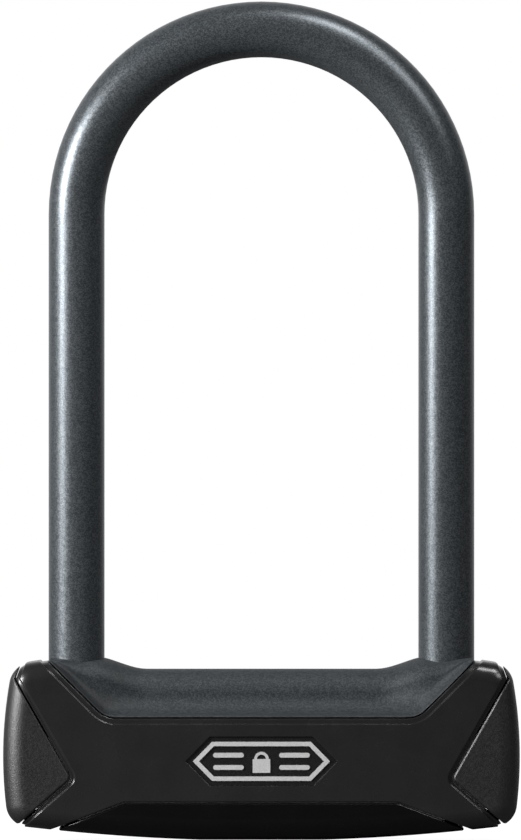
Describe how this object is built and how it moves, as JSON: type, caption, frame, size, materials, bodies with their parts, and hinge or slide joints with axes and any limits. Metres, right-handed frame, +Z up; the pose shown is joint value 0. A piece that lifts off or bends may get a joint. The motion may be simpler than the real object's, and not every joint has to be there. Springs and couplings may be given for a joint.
{
  "type": "u lock",
  "caption": "Compact U-shaped lock: a coated steel shackle whose two feet sit in a clad crossbar with a key cylinder underneath.",
  "frame": {"origin": "middle of the flat land under the crossbar", "axes": "+Z up from the crossbar to the shackle's crown, +X along the crossbar, -Y towards the front with the badge"},
  "size_m": [0.135, 0.034, 0.2193],
  "materials": {
    "steel": "zinc plated, satin",
    "coat": "fine metallic grey plastic coat, semi-matt",
    "saddle_grey": "fine metallic grey, semi-matt",
    "shell_black": "smooth semi-gloss black",
    "cap_black": "fine-grained matt black",
    "cylinder_brass": "machined",
    "seal_rubber": "matt",
    "die_cast": "die-cast zinc alloy, as cast",
    "badge_dark": "gloss black",
    "badge_metal": "satin silver print"
  },
  "bodies": {
    "lock_body": {"lock_case": "steel", "mechanism_carrier": "die_cast", "front_bolt_rail": "die_cast", "rear_bolt_rail": "die_cast", "block_pins": "steel", "cylinder_pins": "steel", "left_socket_block": "steel", "right_socket_block": "steel", "cylinder_housing": "cylinder_brass", "saddle_cover": "saddle_grey", "front_shell": "shell_black", "rear_shell": "shell_black", "keel_cover": "shell_black", "badge_plate": "badge_dark", "badge_frame": "badge_metal", "badge_emblem": "badge_metal", "left_end_cap": "cap_black", "right_end_cap": "cap_black", "left_leg_seal": "seal_rubber", "right_leg_seal": "seal_rubber"},
    "shackle": {"shackle_bar": "steel", "shackle_coat": "coat"},
    "plug_and_cam": {"plug": "cylinder_brass", "plug_tail": "steel", "drill_guard": "steel", "side_bar": "steel", "drive_cam": "steel", "detainer_disc_1": "cylinder_brass", "detainer_disc_2": "cylinder_brass", "detainer_disc_3": "cylinder_brass", "detainer_disc_4": "cylinder_brass", "detainer_disc_5": "cylinder_brass", "detainer_disc_6": "cylinder_brass", "detainer_disc_7": "cylinder_brass", "spacer_disc_1": "steel", "spacer_disc_2": "steel", "spacer_disc_3": "steel", "spacer_disc_4": "steel", "spacer_disc_5": "steel", "spacer_disc_6": "steel"},
    "left_bolt": {"left_bolt": "steel", "left_bolt_pin": "steel"},
    "right_bolt": {"right_bolt": "steel", "right_bolt_pin": "steel"},
    "shutter": {"keyhole_shutter": "cap_black"}
  },
  "joints": [
    {"name": "shackle_slide", "type": "slide", "parent": "lock_body", "child": "shackle", "axis": [0, 0, 1], "range_m": [0, 0.06]},
    {"name": "plug_turn", "type": "hinge", "parent": "lock_body", "child": "plug_and_cam", "pos_m": [0, 0, 0.012], "axis": [0, 0, 1], "range_deg": [0, 90]},
    {"name": "left_bolt_slide", "type": "slide", "parent": "lock_body", "child": "left_bolt", "axis": [-1, 0, 0], "range_m": [0, 0.006]},
    {"name": "right_bolt_slide", "type": "slide", "parent": "lock_body", "child": "right_bolt", "axis": [1, 0, 0], "range_m": [0, 0.006]},
    {"name": "shutter_slide", "type": "slide", "parent": "lock_body", "child": "shutter", "axis": [1, 0, 0], "range_m": [0, 0.012]}
  ],
  "couplings": [
    {"joint": "left_bolt_slide", "follows": "right_bolt_slide", "ratio": 1},
    {"joint": "plug_turn", "follows": "right_bolt_slide", "rad_per_m": 261.8}
  ]
}
